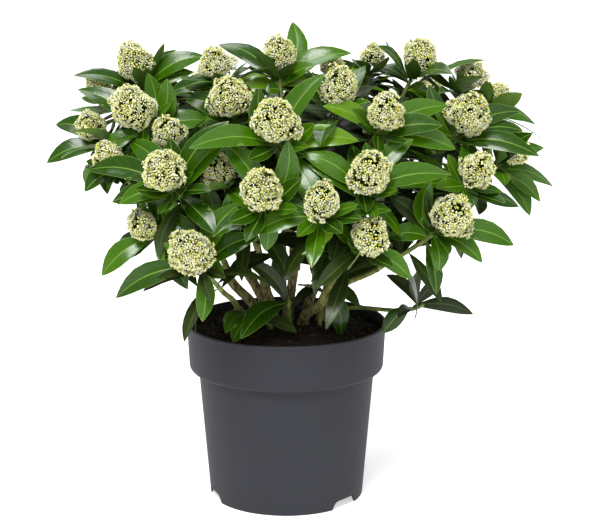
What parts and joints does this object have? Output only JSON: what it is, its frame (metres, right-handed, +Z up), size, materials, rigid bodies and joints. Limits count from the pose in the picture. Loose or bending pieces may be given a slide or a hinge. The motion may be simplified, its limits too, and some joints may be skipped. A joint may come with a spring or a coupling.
{
  "type": "potted skimmia",
  "caption": "Evergreen shrub in flower in a round nursery pot: woody stems fork under masses of glossy leaves and round cream flower heads.",
  "frame": {"origin": "middle of the flat disc under the pot, on the level surface that the pot stands on", "axes": "+Z up the pot's axis, -Y towards the side that the picture shows, +X to that side's right"},
  "size_m": [0.5734, 0.49, 0.5506],
  "materials": {
    "pot_plastic": "satin charcoal grey, smooth moulded",
    "compost": "dark crumbly potting compost",
    "bark": "olive brown bark, pale and ridged on the old wood",
    "foliage": "glossy green leaves with pale midribs, and cream flower heads"
  },
  "bodies": {
    "root": {"pot": "pot_plastic", "compost": "compost", "stem_left": "bark", "stem_low_left": "bark", "stem_mid_left": "bark", "stem_centre": "bark", "stem_right": "bark", "stem_front_right": "bark", "stem_rear_right": "bark", "stem_rear_left": "bark", "bough_left_high": "bark", "bough_left_side": "bark", "bough_left_front": "bark", "bough_low_left": "bark", "bough_top_left": "bark", "bough_front_left": "bark", "bough_top_centre": "bark", "bough_top_right": "bark", "bough_right_crest": "bark", "bough_right_high": "bark", "bough_right_side": "bark", "bough_front_right": "bark", "bough_low_front": "bark", "bough_low_right": "bark", "bough_rear_right_side": "bark", "bough_rear_right_back": "bark", "bough_rear_left_side": "bark", "bough_rear_left_back": "bark", "foliage_left_high": "foliage", "foliage_left_side": "foliage", "foliage_left_front": "foliage", "foliage_low_left": "foliage", "foliage_top_left": "foliage", "foliage_front_left": "foliage", "foliage_top_centre": "foliage", "foliage_top_right": "foliage", "foliage_right_crest": "foliage", "foliage_right_high": "foliage", "foliage_right_side": "foliage", "foliage_front_right": "foliage", "foliage_low_front": "foliage", "foliage_low_right": "foliage", "foliage_rear_right_side": "foliage", "foliage_rear_right_back": "foliage", "foliage_rear_left_side": "foliage", "foliage_rear_left_back": "foliage", "foliage_sprig_left": "foliage", "foliage_sprig_centre": "foliage", "foliage_sprig_middle": "foliage", "foliage_sprig_right": "foliage"}
  },
  "joints": []
}
